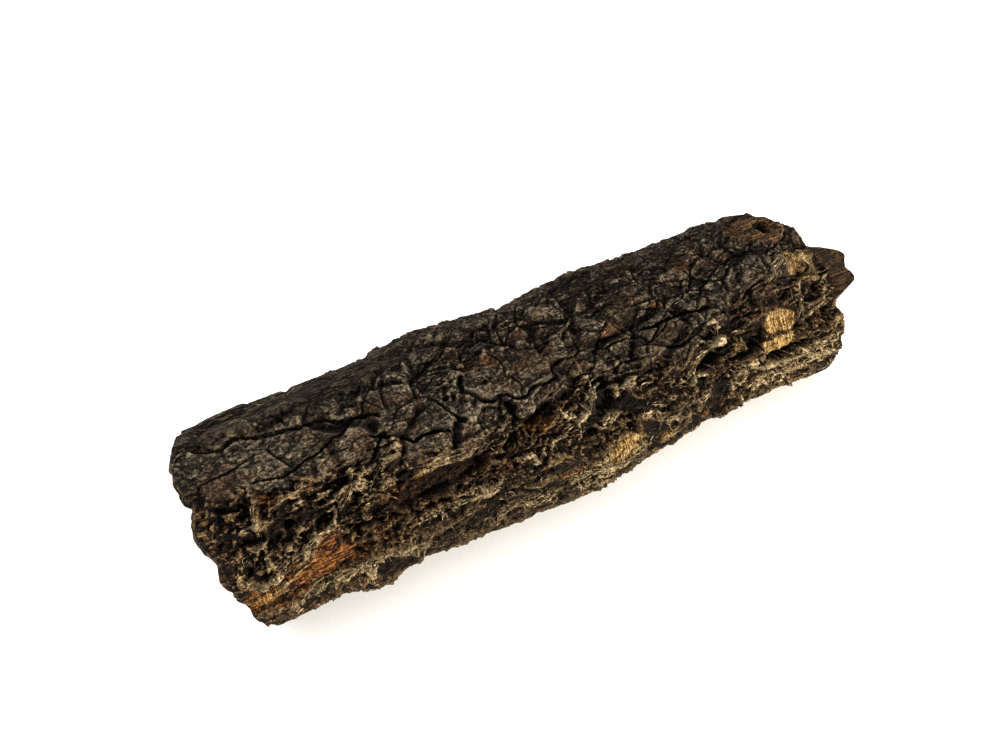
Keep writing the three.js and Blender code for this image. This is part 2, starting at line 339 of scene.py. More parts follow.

# Pale crests drawn one by one: height, half width, paleness and points of (x, angle).
CRESTS = [
    (3.6, 3.0, 0.9, [(-41, 62), (-36, 53), (-36, 48), (-42, 43), (-53, 42), (-59, 49)]),
    (3.2, 2.6, 0.9, [(-28, 49), (-28, 45), (-20, 45), (-11, 46)]),
    (2.6, 2.6, 0.9, [(-42, 42), (-55, 38), (-67, 35), (-77, 32)]),
    (2.6, 2.4, 0.9, [(-44, 34), (-53, 25), (-61, 28)]),
    (2.4, 2.4, 0.9, [(-27, 39), (-39, 33), (-43, 32)]),
    (3.4, 3.2, 0.9, [(47, 61), (53, 53), (45, 46), (32, 43), (26, 37), (21, 31)]),
    (2.2, 2.0, 0.9, [(117, 62), (118, 53), (119, 43), (108, 39)]),
    (2.4, 2.2, 0.9, [(76, 22), (90, 17), (103, 15), (123, 16), (144, 19)]),
    (2.6, 2.6, 0.65, [(-157, 70), (-161, 61), (-168, 60)]),
    (2.6, 2.4, 0.65, [(-183, 60), (-186, 54), (-195, 49)]),
    (2.6, 2.2, 0.65, [(-233, 64), (-236, 56), (-237, 49)]),
    (2.6, 3.4, 0.65, [(-246, 27), (-240, 33), (-228, 36), (-217, 38), (-196, 41)]),
    (2.8, 4.0, 0.9, [(-240, 2), (-227, 5), (-207, 10), (-181, 5), (-163, 1)]),
    (3.2, 4.0, 0.9, [(-148, 20), (-130, 21), (-110, 24)]),
    (2.8, 3.4, 0.9, [(70, 28), (74, 25)]),
    (2.6, 3.0, 0.9, [(-12, 26), (0, 27), (12, 27)]),
    (2.6, 3.6, 0.9, [(-56, -1), (-46, -3)]),
    (2.4, 3.0, 0.9, [(52, 22), (60, 19), (64, 15)]),
    (2.2, 2.6, 0.9, [(92, 17), (102, 17)]),
    (2.4, 3.0, 0.9, [(141, 31), (143, 22), (141, 14)]),
    (2.6, 3.0, 0.9, [(-91, 34), (-87, 31), (-84, 27)]),
    (2.6, 2.4, 0.65, [(-213, 63), (-211, 58), (-209, 54)]),
    (2.4, 4.0, 0.65, [(-176, 62), (-174, 55), (-178, 49)]),
]
CREST_EDGE = (1.3, 0.2)
CREST_BREAKS = dict(length=6, around=80, drop=2, whole=(-3.4, 0.2), mean=0.8, swing=0.6, seed=225)


def cell_random(column, row, seed):
    """A repeatable random number from 0 to 1 for each cell of a grid."""
    mixed = column.astype(np.uint32) * np.uint32(374761393)
    mixed = mixed + row.astype(np.uint32) * np.uint32(668265263)
    mixed = mixed + np.uint32((seed * 974634541) % 2**32)
    mixed = (mixed ^ (mixed >> np.uint32(13))) * np.uint32(1274126177)
    mixed = mixed ^ (mixed >> np.uint32(16))
    return mixed / 2.0**32


def smoothstep(value, low, high):
    """A smooth rise from 0 at low to 1 at high, or a fall where low is the greater."""
    t = np.clip((value - low) / (high - low), 0, 1)
    return t * t * (3 - 2 * t)


def lerp(a, b, t):
    return a + (b - a) * t


def noise(x, angle, spec):
    """Smooth noise from -1 to 1 that joins up round the tube."""
    u = x / spec["length"]
    v = angle / 360 * spec["around"]
    i = np.floor(u).astype(np.int64)
    j = np.floor(v).astype(np.int64)
    s = smoothstep(u - i, 0, 1)
    t = smoothstep(v - j, 0, 1)

    def corner(di, dj):
        return cell_random(i + di, (j + dj) % spec["around"], spec["seed"])

    near = lerp(corner(0, 0), corner(1, 0), s)
    far = lerp(corner(0, 1), corner(1, 1), s)
    return lerp(near, far, t) * 2 - 1


def cells(x, angle, spec):
    """The scattered cell that each point lies in, with distances counted in cells."""
    u = x / spec["length"]
    v = angle / 360 * spec["around"]
    home_i = np.floor(u).astype(np.int64)
    home_j = np.floor(v).astype(np.int64)
    found = dict(nearest=np.full(x.shape, np.inf), second=np.full(x.shape, np.inf))
    for name in ("level", "along", "across", "lean_along", "lean_across"):
        found[name] = np.zeros(x.shape)
    for di in (-1, 0, 1):
        for dj in (-1, 0, 1):
            i = home_i + di
            wrapped = (home_j + dj) % spec["around"]
            along = i + cell_random(i, wrapped, spec["seed"]) - u
            across = home_j + dj + cell_random(i, wrapped, spec["seed"] + 1) - v
            distance = np.hypot(along, across)
            closer = distance < found["nearest"]
            passed = np.where(closer, found["nearest"], distance)
            found["second"] = np.minimum(found["second"], passed)
            found["nearest"] = np.where(closer, distance, found["nearest"])
            values = dict(
                level=cell_random(i, wrapped, spec["seed"] + 2),
                along=along,
                across=across,
                lean_along=cell_random(i, wrapped, spec["seed"] + 3) * 2 - 1,
                lean_across=cell_random(i, wrapped, spec["seed"] + 4) * 2 - 1,
            )
            for name, value in values.items():
                found[name] = np.where(closer, value, found[name])
    found["edge"] = found["second"] - found["nearest"]
    return found


def turn_between(start, end):
    """The shorter way round from one angle to another."""
    return (end - start + 180) % 360 - 180


def rim_at(rim, angle):
    """How far along the tube a rim reaches, smoothed round the tube."""
    angles = np.array([a for a, _ in rim] + [rim[0][0] + 360])
    reach = np.array([x for _, x in rim] + [rim[0][1]])
    total = 0
    for turn in RIM_SMOOTHING:
        total = total + np.interp((angle + turn - angles[0]) % 360 + angles[0], angles, reach)
    return total / len(RIM_SMOOTHING)


def limb_radius(x, angle):
    """The limb's radius with its swells, without bark relief."""
    radius = np.full(x.shape, OUTER_RADIUS)
    for swell in SWELLS:
        along = (x - swell["x"]) / swell["reach"]
        around = turn_between(swell["angle"], angle) / swell["spread"]
        radius = radius + swell["height"] * np.exp(-along**2 - around**2)
    return radius


def patch_distance(patch, x, angle):
    """How far out a point lies on a patch: 0 at its middle and 1 at its edge. Gold is squarer."""
    along = x - patch["x"]
    across = turn_between(patch["angle"], angle) / 360 * ROUND
    slant = math.radians(patch.get("slant", 0))
    a = (along * math.cos(slant) + across * math.sin(slant)) / (patch["length"] / 2)
    b = (across * math.cos(slant) - along * math.sin(slant)) / (patch["width"] / 2)
    if patch.get("shows") == "gold":
        return (np.abs(a) ** 3 + np.abs(b) ** 3) ** (1 / 3)
    return np.hypot(a, b)


def line_distance(points, x, angle):
    """Distance from each point of the bark to a line drawn on it."""
    nearest = np.full(x.shape, np.inf)
    for (x0, a0), (x1, a1) in zip(points, points[1:]):
        px = x - x0
        ps = turn_between(a0, angle) / 360 * ROUND
        dx = x1 - x0
        ds = (a1 - a0) / 360 * ROUND
        t = np.clip((px * dx + ps * ds) / (dx * dx + ds * ds), 0, 1)
        nearest = np.minimum(nearest, np.hypot(px - t * dx, ps - t * ds))
    return nearest


def plates(x, angle):
    """The solid's plates, each at a level of its own, with cracks between them."""
    found = cells(x, angle, PLATES)
    rise = smoothstep(found["edge"], 0, PLATES["crack"])
    return PLATES["height"] * (rise * lerp(0.3, 1, found["level"]) - 0.5)


def solid_relief(x, angle):
    """The ridges, furrows and plates that the solid has."""
    lean_x = x + LEAN["shift"] * noise(x, angle, LEAN)
    lean_angle = angle + LEAN["turn"] * noise(x + LEAN["length"] / 2, angle, LEAN)
    relief = BROAD["height"] * noise(x, angle, BROAD)
    relief += FURROWS["height"] * noise(lean_x, lean_angle, FURROWS)
    return relief + plates(lean_x, lean_angle)


def warped(x, angle):
    """Points shifted this way and that, so that nothing drawn with them runs straight."""
    for warp in WARPS:
        shift = warp["shift"] * noise(x, angle, warp)
        turn = warp["turn"] * noise(x + warp["length"] / 2, angle, dict(warp, seed=warp["seed"] + 1))
        x = x + shift
        angle = angle + turn
    return x, angle


def fractal(x, angle, spec, octaves=4):
    """Noise with finer and finer noise on it."""
    total = np.zeros(x.shape)
    for octave in range(octaves):
        times = 2**octave
        finer = dict(length=spec["length"] / times, around=spec["around"] * times,
                     seed=spec["seed"] + octave)
        total += noise(x, angle, finer) * FINER_SHARE**octave
    return total


def flake_relief(x, angle):
    """Dry flakes of four sizes lying on one another, their tone and the gaps between them."""
    relief = np.full(x.shape, FLAKE_BASE)
    tone = np.zeros(x.shape)
    gaps = np.zeros(x.shape)
    for flake in FLAKES:
        found = cells(x, angle, flake)
        lean = found["along"] * found["lean_along"] + found["across"] * found["lean_across"]
        whole = smoothstep(found["edge"], FLAKE_EDGE, FLAKE_EDGE + flake["gap"])
        curl = np.exp(-(((found["edge"] - LIP_INSET - flake["gap"]) / LIP_WIDTH) ** 2))
        level = FLAKE_LEVEL + found["level"] + FLAKE_LEAN * lean
        relief += flake["thick"] * whole * level + flake["lip"] * curl
        tone = lerp(tone, found["level"], 0.5)
        gap = 1 - smoothstep(found["edge"], 0.0, flake["gap"])
        gaps = np.maximum(gaps, gap * flake["thick"] / FLAKES[0]["thick"])
    relief += SCURF["height"] * fractal(x, angle, SCURF)
    return relief, tone, gaps


def chip_relief(x, angle, spec):
    """Broken chips, each at a level and a lean of its own, and a tone for each."""
    found = cells(x, angle, spec)
    lean = found["along"] * found["lean_along"] + found["across"] * found["lean_across"]
    return spec["height"] * (found["level"] - 0.5 + lean), (found["lean_along"] + 1) / 2


def crumb_relief(x, angle):
    """Cavernous crumbly cork: thin crests, pits and chips."""
    relief = np.full(x.shape, CRUMB_BASE)
    held = np.ones(x.shape)
    for ridge in CRUMB_RIDGES:
        crest = np.clip(1 - ridge["sharp"] * np.abs(fractal(x, angle, ridge)), 0, 1)
        relief += ridge["height"] * crest * held
        held = lerp(0.5, 1, crest)
    pit = smoothstep(fractal(x, angle, PITS, 3), *PITS["edge"])
    pit = pit * (1 - PITS["loss"] * smoothstep(turn_between(0, angle), *PITS["fades"]))
    tone = np.full(x.shape, 0.5)
    for chip in CHIPS:
        rise, chip_tone = chip_relief(x, angle, chip)
        relief += rise * (1 - 0.8 * pit)
        tone = lerp(tone, chip_tone, 0.55)
    return relief - PITS["depth"] * pit, pit, tone


def fibre_relief(x, angle):
    """Ropy fibres along the tube, with sharp crests where the noise crosses zero."""
    relief = np.full(x.shape, FIBRE_BASE)
    for fibre in FIBRES:
        relief += fibre["height"] * (1 - np.abs(noise(x, angle, fibre))) ** FIBRE_SHARPNESS
    return relief


def rope_pits(x, angle):
    """Pits between the ropy strands low on the front."""
    pit = smoothstep(fractal(x, angle, ROPE_PITS, 3), *ROPE_PITS["edge"])
    turned = turn_between(0, angle)
    return pit * smoothstep(turned, *ROPE_PITS["top"]) * smoothstep(turned, *ROPE_PITS["foot"])


def regions(x, angle):
    """How much of each kind of bark shows at each point: crumbs, fibres and cream cork."""
    top = np.interp(x, *np.array(FRONT_TOP).T)
    turned = turn_between(0, angle) + FRONT_EDGE["turn"] * noise(x, angle, FRONT_EDGE)
    foot = smoothstep(turned, *FRONT_FOOT)
    front = smoothstep(turned, top + FRONT_EDGE["above"], top - FRONT_EDGE["below"]) * foot
    behind = 1 - foot * smoothstep(turned, *BACK_EDGE)
    furrows = noise(x, angle, FURROWS)
    mixed = smoothstep(noise(x, angle, MIXING) + MIXING["furrows"] * furrows, *MIXING["edge"])
    crumb = np.maximum(front, behind * mixed * MIXING["share"])
    fibre = smoothstep(turned, *TOP_FIBRES["foot"]) * smoothstep(turned, *TOP_FIBRES["top"])
    fibre = fibre * smoothstep(x + TOP_FIBRES["wander"] * furrows, *TOP_FIBRES["along"])
    low_foot = smoothstep(turned, *LOW_FIBRES["foot"])
    low = smoothstep(turned, *LOW_FIBRES["top"]) * low_foot
    low = low * (LOW_FIBRES["mean"] + LOW_FIBRES["swing"] * noise(x, angle, LOW_FIBRES))
    low = low * (1 - FEWER_FIBRES["loss"] * smoothstep(x, *FEWER_FIBRES["along"]))
    lowest = LOWEST_FIBRES["share"] * smoothstep(turned, *LOWEST_FIBRES["top"]) * low_foot
    low = np.maximum(low, lowest)
    cream = np.full(x.shape, CREAM_ELSEWHERE)
    for area in CREAM_AREAS:
        inside = smoothstep(patch_distance(area, x, angle), *CREAM_EDGE)
        cream = np.maximum(cream, area["amount"] * inside)
    cream = np.maximum(cream, CREAM_BEHIND * behind)
    return np.clip(crumb, 0, 1) * (1 - fibre), np.clip(np.maximum(fibre, low), 0, 1), cream


def calmness(x, angle):
    """How much of the relief is kept: less along both skylines and the rims, least at the foot."""
    kept = 1
    for middle, fade, loss in CALM_BANDS:
        kept = kept - loss * smoothstep(np.abs(turn_between(middle, angle)), *fade)
    to_rim = np.minimum(rim_at(RIGHT_RIM, angle) - x, x - rim_at(LEFT_RIM, angle))
    rim = smoothstep(to_rim, *CALM_RIM["fade"])
    return np.clip(kept, LEAST_RELIEF, 1) * (1 - CALM_RIM["loss"] * rim)


def bark(x, angle):
    """The outer bark's relief and the masks that colour it."""
    fine = warped(x, angle)
    base = solid_relief(x, angle)
    flakes, tone, gaps = flake_relief(*fine)
    crumbs, pit, chip_tone = crumb_relief(*fine)
    crumb, fibre, cream = regions(x, angle)
    grain, _ = chip_relief(*fine, SMALL_CHIPS)
    rope_pit = rope_pits(*fine)
    detail = lerp(flakes, crumbs, crumb)
    detail = lerp(detail, fibre_relief(*fine), fibre) - ROPE_PITS["depth"] * rope_pit
    relief = (base * lerp(*SOLID_SHARES, crumb) + detail + grain) * calmness(x, angle)
    masks = dict(crumb=crumb, tone=lerp(tone, chip_tone, crumb), fibre=fibre, cream=cream)
    # Gaps between flakes and the pits are marked to be painted black as shade.
    masks["gap"] = gaps * (1 - crumb) * (1 - fibre)
    masks["pit"] = np.maximum(pit * crumb * (1 - fibre), ROPE_PITS["shade"] * rope_pit)
    for name in (*PATCH_COLOURS, "pale"):
        masks[name] = np.zeros(x.shape)
    relief = lay_patches(x, angle, fine, relief, masks, base, detail, grain)
    relief = lay_crests(x, angle, fine, relief, masks, crumbs)
    # Cracks are cut into the relief and marked as gaps, which are painted black as shade.
    for depth, width, points in CRACKS:
        drop = smoothstep(line_distance(points, *fine) / width, *CRACK_EDGE)
        relief = relief - depth * drop
        masks["gap"] = np.maximum(masks["gap"], drop)
    return np.clip(relief, DEEPEST, HIGHEST), masks


def lay_patches(x, angle, fine, relief, masks, base, detail, grain):
    """The relief with patches laid on it. Patches and stains are marked on the masks."""
    edge_noise = PATCH_EDGE["height"] * fractal(x, angle, PATCH_EDGE)
    streaks = noise(x, angle, PATCH_STREAKS)
    near = (lerp(x, fine[0], 0.5), lerp(angle, fine[1], 0.5))
    for listed in PATCHES:
        kind = listed["shows"]
        patch = {**PATCH_KINDS[kind], **listed}
        where = (x, angle) if kind == "hole" else near
        away = patch_distance(patch, *where) + patch["ragged"] * edge_noise
        inside = 1 - smoothstep(away, patch["fade"], PATCH_END)
        bare = patch["level"] + patch["rough"] * base + patch["keep"] * detail + grain
        if kind != "plate":
            bare = bare + streaks
        relief = lerp(relief, bare, inside)
        for name in ("gap", "crumb", "fibre", "pit"):
            masks[name] = masks[name] * (1 - inside)
        # Pits and holes are marked to be painted black as shade.
        if kind in ("pit", "hole"):
            masks["pit"] = np.maximum(masks["pit"], inside)
        else:
            for name in PATCH_COLOURS:
                shown = patch.get("strength", 1) if name == kind else 0
                masks[name] = lerp(masks[name], shown, inside)
    for stain in STAINS:
        name = stain["shows"]
        away = patch_distance(stain, *near) + RAGGED_STAIN * edge_noise
        inside = smoothstep(away, *STAIN_EDGE)
        masks[name] = np.maximum(masks[name], stain["strength"] * inside)
    return relief


def lay_crests(x, angle, fine, relief, masks, crumbs):
    """The relief with the drawn crests on it, broken up and marked as pale."""
    breaks = fractal(x, angle, CREST_BREAKS, 3)
    whole = smoothstep(crumbs + CREST_BREAKS["drop"] * breaks, *CREST_BREAKS["whole"])
    share = CREST_BREAKS["mean"] + CREST_BREAKS["swing"] * breaks
    for height, width, pale, points in CRESTS:
        rise = smoothstep(line_distance(points, *fine) / width, *CREST_EDGE) * whole
        relief = relief + height * rise * share
        masks["pale"] = np.maximum(masks["pale"], pale * rise)
        masks["pit"] = masks["pit"] * (1 - rise)
    return relief


def blurred(field, reach):
    """A field of rows by columns, averaged over a square window that wraps round the tube."""
    total = np.zeros_like(field)
    for shift in range(-reach, reach + 1):
        total += np.roll(field, shift, axis=1)
    size = 2 * reach + 1
    padded = np.pad(total / size, ((reach, reach), (0, 0)), mode="edge")
    sums = np.cumsum(np.pad(padded, ((1, 0), (0, 0))), axis=0)
    return (sums[size:] - sums[:-size]) / size


def place(x, angle, radius):
    """A point of the bark, never under the floor."""
    turn = np.radians(angle)
    y = -radius * np.cos(turn)
    z = AXIS_HEIGHT + radius * np.sin(turn)
    return np.stack([x, y, np.maximum(z, 0)], axis=-1)


def along_tube(t, depth, angle):
    """Where a row at share t of the length lies along the tube."""
    chip = RAGGED_RIM * noise(np.full(angle.shape, depth * RIM_CHIPS["length"]), angle, RIM_CHIPS)
    left = rim_at(LEFT_RIM, angle) + chip - LEFT_END
    right = rim_at(RIGHT_RIM, angle) - chip - RIGHT_END
    return lerp(LEFT_END, RIGHT_END, t) + left * (1 - t) ** RIM_FADE + right * t**RIM_FADE


def column_angles():
    """The columns' angles, spaced by how much each side shows."""
    turns, shares = np.array(COLUMN_SHARES).T
    fine = np.linspace(turns[0], turns[-1], ANGLE_STEPS + 1)
    density = np.interp(fine, turns, shares)
    reached = np.concatenate([[0], np.cumsum((density[1:] + density[:-1]) / 2)])
    return np.interp(np.arange(COLUMNS) / COLUMNS, reached / reached[-1], fine)


def outer_grid(angles):
    """The outer bark as a grid of points, with its masks."""
    t, angle = np.meshgrid(np.linspace(1, 0, OUTER_ROWS + 1), angles, indexing="ij")
    x = along_tube(t, 0.0, angle)
    relief, masks = bark(x, angle)
    # Marks for painted shade in the hollows and painted highlight on the crests.
    deep = 0
    crest = 0
    for window in RELIEF_WINDOWS:
        rise = relief - blurred(relief, window["reach"])
        deep = deep + window["deep_weight"] * smoothstep(-rise, *window["deep"])
        crest = crest + window["crest_weight"] * smoothstep(rise, *window["crest"])
    masks["deep"] = np.clip(deep, 0, 1)
    masks["crest"] = np.clip(crest, 0, 1)
    return place(x, angle, limb_radius(x, angle) + relief), masks


def inner_grid(angles):
    """The lining as a grid of points. It leaves at least the thinnest wall."""
    t, angle = np.meshgrid(np.linspace(1, 0, INNER_ROWS + 1), angles, indexing="ij")
    x = along_tube(t, 1.0, angle)
    limb = limb_radius(x, angle)
    grooves = INNER_GROOVES["height"] * noise(x, angle, INNER_GROOVES)
    ribs = LINING_RIBS["height"] * fractal(x, angle, LINING_RIBS, 3)
    solid = np.clip(solid_relief(x, angle), SOLID_DEEPEST, HIGHEST)
    return place(x, angle, np.minimum(limb - WALL + grooves + ribs, limb + solid - THINNEST_WALL))


def bark_lengths(angles, outer, inner, masks):
    """The bark as closed lengths that meet end to end, so that each stays a workable mesh."""
    pieces = []
    for length in range(LENGTHS):
        rows = slice(length * OUTER_ROWS // LENGTHS, (length + 1) * OUTER_ROWS // LENGTHS + 1)
        lining_rows = slice(length * INNER_ROWS // LENGTHS, (length + 1) * INNER_ROWS // LENGTHS + 1)
        crust = outer[rows]
        lining = inner[lining_rows][::-1]
        right = rim_rows(lining[-1], crust[0], angles, 1, length == 0)
        left = rim_rows(crust[-1], lining[0], angles, -1, length == LENGTHS - 1)
        points = np.concatenate([crust, left, lining, right])
        shown = {}
        for name, mask in masks.items():
            shown[name] = np.zeros(points.shape[:2])
            shown[name][:len(crust)] = mask[rows]
        first_inner = len(crust) + len(left)
        last_inner = first_inner + len(lining)
        shown["inside"] = np.zeros(points.shape[:2])
        shown["inside"][first_inner:last_inner] = 1
        shown["rim"] = np.zeros(points.shape[:2])
        shown["rim"][len(crust):first_inner] = 1
        shown["rim"][last_inner:] = 1
        faces = grid_faces(*points.shape[:2])
        piece = solid_object(f"bark_{length + 1}", points.reshape(-1, 3), faces, shown)
        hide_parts(NODE)
        pieces.append(piece)
    return pieces


def rim_rows(start, end, angles, side, broken):
    """The rows of an end face between two edges. A broken end bulges and is rough."""
    count = RIM_ROWS if broken else CUT_ROWS
    rows = []
    for share in np.linspace(0, 1, count + 1)[1:-1]:
        row = lerp(start, end, share)
        if broken:
            across = np.full(angles.shape, share * WALL)
            rough = sum(spec["height"] * noise(across, angles, spec) for spec in RIM_ROUGHNESS)
            row[:, 0] += (side * RAGGED_RIM + rough) * math.sin(math.pi * share)
        rows.append(row)
    return np.stack(rows)


def solid_object(name, points, faces, masks):
    """A mesh object in metres, with its masks stored on its points."""
    mesh = bpy.data.meshes.new(name)
    mesh.vertices.add(len(points))
    mesh.vertices.foreach_set("co", (points * MM).astype(np.float32).ravel())
    mesh.loops.add(faces.size)
    mesh.loops.foreach_set("vertex_index", faces.astype(np.int32).ravel())
    mesh.polygons.add(len(faces))
    mesh.polygons.foreach_set("loop_start", np.arange(0, faces.size, faces.shape[1], dtype=np.int32))
    mesh.update(calc_edges=True)
    for mask_name, mask in masks.items():
        attribute = mesh.attributes.new(mask_name, "FLOAT", "POINT")
        attribute.data.foreach_set("value", mask.astype(np.float32).ravel())
    mesh.shade_smooth()
    mesh.set_sharp_from_angle(angle=SHARP_ANGLE)
    thing = bpy.data.objects.new(name, mesh)
    bpy.context.scene.collection.objects.link(thing)
    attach(thing, BODY)
    return thing


def grid_faces(rows, columns):
    """Four-sided faces over rows of points that loop in both directions."""
    index = np.arange(rows * columns).reshape(rows, columns)
    next_row = np.roll(index, -1, 0)
    corners = [index, np.roll(index, -1, 1), np.roll(next_row, -1, 1), next_row]
    return np.stack(corners, axis=-1).reshape(-1, 4)


def unit(vectors):
    return vectors / np.maximum(np.linalg.norm(vectors, axis=-1, keepdims=True), 1e-9)


class Skin:
    """The outer bark as a grid, to set small pieces on."""

    def __init__(self, points, masks, angles):
        self.points = points
        self.masks = masks
        self.angles = angles
        along = np.gradient(points, axis=0)
        around = (np.roll(points, -1, 1) - np.roll(points, 1, 1)) / 2
        self.row_step = np.linalg.norm(along, axis=-1)
        self.column_step = np.linalg.norm(around, axis=-1)
        self.normal = unit(np.cross(around, along))

    def spots(self, weight, count, rng):
        """Rows and columns chosen at random, more often where the weight is greater."""
        weight = weight * self.row_step * self.column_step
        reached = np.cumsum(weight.ravel())
        chosen = np.searchsorted(reached, rng.random(count) * reached[-1])
        return np.divmod(np.minimum(chosen, weight.size - 1), weight.shape[1])

    def find(self, x, angle):
        """The row and column, between the grid's points, of places on the tube."""
        start = self.angles[0]
        column = np.interp((angle - start) % 360 + start, self.angles, np.arange(len(self.angles)))
        row = []
        for place_x, place_column in zip(x, column):
            line = self.points[:, int(place_column), 0]
            row.append(np.interp(-place_x, -line, np.arange(len(line))))
        return np.array(row), column

    def at(self, field, row, column):
        """A field of vectors on the grid, between its points."""
        rows, columns = field.shape[:2]
        row = np.clip(row, 0, rows - 1.001)
        i = np.floor(row).astype(int)
        j = np.floor(column).astype(int)
        s = (row - i)[..., None]
        t = (column - j)[..., None]
        here = j % columns
        beside = (j + 1) % columns
        near = lerp(field[i, here], field[i, beside], t)
        far = lerp(field[i + 1, here], field[i + 1, beside], t)
        return lerp(near, far, s)


def ropy(points):
    """Where strands are thick and few: low on the right of the front."""
    return smoothstep(points[..., 0], *ROPY_X) * smoothstep(points[..., 2], *ROPY_Z)


def strand_share(skin):
    """How thickly strands lie: on the crests of cream cork, most towards the right rim."""
    masks = skin.masks
    x = skin.points[..., 0]
    z = skin.points[..., 2]
    cream = np.clip(masks["cream"] - 0.3, 0, 1) + 0.06
    stringy = smoothstep(np.maximum(masks["crumb"], masks["fibre"]), 0.35, 0.8)
    share = stringy * cream * (0.15 + masks["crest"])
    share = share * (0.55 + 0.45 * smoothstep(x, *MORE_STRANDS_X))
    share = share * lerp(1, 0.3, smoothstep(z, *FEWER_STRANDS_Z))
    share = share * lerp(1, 0.6, ropy(skin.points))
    bare = masks["orange"] + masks["red"] + masks["pit"]
    return share * np.clip(1 - bare, 0, 1) * (z > FLOOR_CLEARANCE)


def loose_strands(skin, rng):
    """Paths, as rows and columns of the skin, of strands that lie here and there."""
    row, column = skin.spots(strand_share(skin), STRANDS_LAID, rng)
    low = smoothstep(skin.points[row, column, 2], *LEVEL_STRANDS_Z)
    heading = rng.normal(0, 1, STRANDS_LAID) * lerp(0.9, 0.35, low)
    heading = heading + np.where(rng.random(STRANDS_LAID) < 0.5, 0, math.pi)
    bend = rng.normal(0, STRAND_BEND, STRANDS_LAID)
    step = rng.uniform(*STRAND_LENGTH, STRANDS_LAID) / (STRAND_POINTS - 1)
    row = row.astype(float)
    column = column.astype(float)
    path_rows = []
    path_columns = []
    for _ in range(STRAND_POINTS):
        path_rows.append(row)
        path_columns.append(column)
        i = np.clip(row, 0, skin.points.shape[0] - 1).astype(int)
        j = column.astype(int) % skin.points.shape[1]
        row = row + np.cos(heading) * step / skin.row_step[i, j]
        column = column + np.sin(heading) * step / skin.column_step[i, j]
        heading = heading + bend + rng.normal(0, STRAND_BEND, STRANDS_LAID)
    return np.stack(path_rows, 1), np.stack(path_columns, 1)


def string_strands(skin, rng):
    """Paths of strands that lie along the drawn strings, side by side and end to end."""
    path_rows = []
    path_columns = []
    for string in STRINGS:
        x, angle = np.array(string, float).T
        reached = np.concatenate([[0], np.cumsum(np.hypot(np.diff(x), np.diff(angle)))])
        for _ in range(STRANDS_A_STRING):
            length = min(rng.uniform(*STRING_LENGTH), reached[-1])
            start = rng.uniform(0, reached[-1] - length)
            along = np.linspace(start, start + length, STRAND_POINTS)
            aside = rng.normal(0, STRING_SPREAD)
            aside = aside + np.cumsum(rng.normal(0, STRING_WANDER, STRAND_POINTS))
            path_x = np.interp(along, reached, x) + rng.normal(0, STRING_WANDER)
            rows, columns = skin.find(path_x, np.interp(along, reached, angle) + aside)
            path_rows.append(rows)
            path_columns.append(columns)
    return np.stack(path_rows), np.stack(path_columns)


def strand_pieces(skin, rng):
    """Thin strands that lie over the crests, thickest in the middle."""
    loose = loose_strands(skin, rng)
    rows, columns = np.concatenate([loose, string_strands(skin, rng)], axis=1)
    kept = ((rows > 1) & (rows < skin.points.shape[0] - 2)).all(axis=1)
    drawn = (np.arange(len(kept)) >= len(loose[0]))[kept]
    middle = skin.at(skin.points, rows[kept], columns[kept])
    normal = unit(skin.at(skin.normal, rows[kept], columns[kept]))
    for _ in range(3):
        middle[:, 1:-1] = (middle[:, :-2] + 2 * middle[:, 1:-1] + middle[:, 2:]) / 4
        normal[:, 1:-1] = unit(normal[:, :-2] + normal[:, 1:-1] + normal[:, 2:])
    count = len(middle)
    thick = STRAND_RADIUS + THICKER_STRAND * rng.random(count)[:, None] ** 2.5
    thick = thick * (1 + ROPY_STRAND * ropy(middle[:, :1]))
    taper = np.sin(np.linspace(0.05, math.pi - 0.05, STRAND_POINTS))
    thick = thick * (0.25 + 0.75 * taper)
    middle = middle + normal * rng.uniform(0.0, STRAND_LIFT, count)[:, None, None]
    rings = strand_rings(middle, normal, thick)
    tone = rng.uniform(0, 1, count) ** 1.4
    bright = drawn * smoothstep(middle[:, 0, 0], *BRIGHT_STRINGS_X)
    tone = lerp(tone, 0.5 + 0.5 * tone, bright)[:, None, None]
    shown = {name: np.zeros(rings.shape[:3]) for name in skin.masks}
    shown["crumb"] += 1
    shown["cream"] += 0.3 + 0.7 * tone
    shown["pale"] += 0.2 + 0.8 * tone
    # Strands count as crests, so the material paints them lighter as highlight, the more so the higher
    # their tone.
    shown["crest"] += 0.3 + 0.7 * tone
    shown["tone"] += tone
    return solid_object("bark_strands", rings.reshape(-1, 3), strand_faces(count), shown)


def strand_rings(middle, normal, thick):
    """Rings of points round the strands' paths, kept above the floor."""
    tangent = unit(np.gradient(middle, axis=1))
    side = unit(np.cross(tangent, normal))
    over = unit(np.cross(side, tangent))
    rings = []
    for corner in range(STRAND_SIDES):
        turn = math.pi / 2 + corner * 2 * math.pi / STRAND_SIDES
        rings.append(middle + thick[..., None] * (math.cos(turn) * side + math.sin(turn) * over))
    rings = np.stack(rings, axis=2)
    rings[..., 2] = np.maximum(rings[..., 2], 0)
    return rings


def strand_faces(count):
    """Triangles along the strands' three sides and over their ends."""
    index = np.arange(count * STRAND_POINTS * STRAND_SIDES).reshape(count, STRAND_POINTS, STRAND_SIDES)
    beside = np.roll(index, -1, 2)
    a = index[:, :-1]
    b = beside[:, :-1]
    c = beside[:, 1:]
    d = index[:, 1:]
    lower = np.stack([a, b, c], -1).reshape(-1, 3)
    upper = np.stack([a, c, d], -1).reshape(-1, 3)
    return np.concatenate([lower, upper, index[:, 0, ::-1], index[:, -1]])


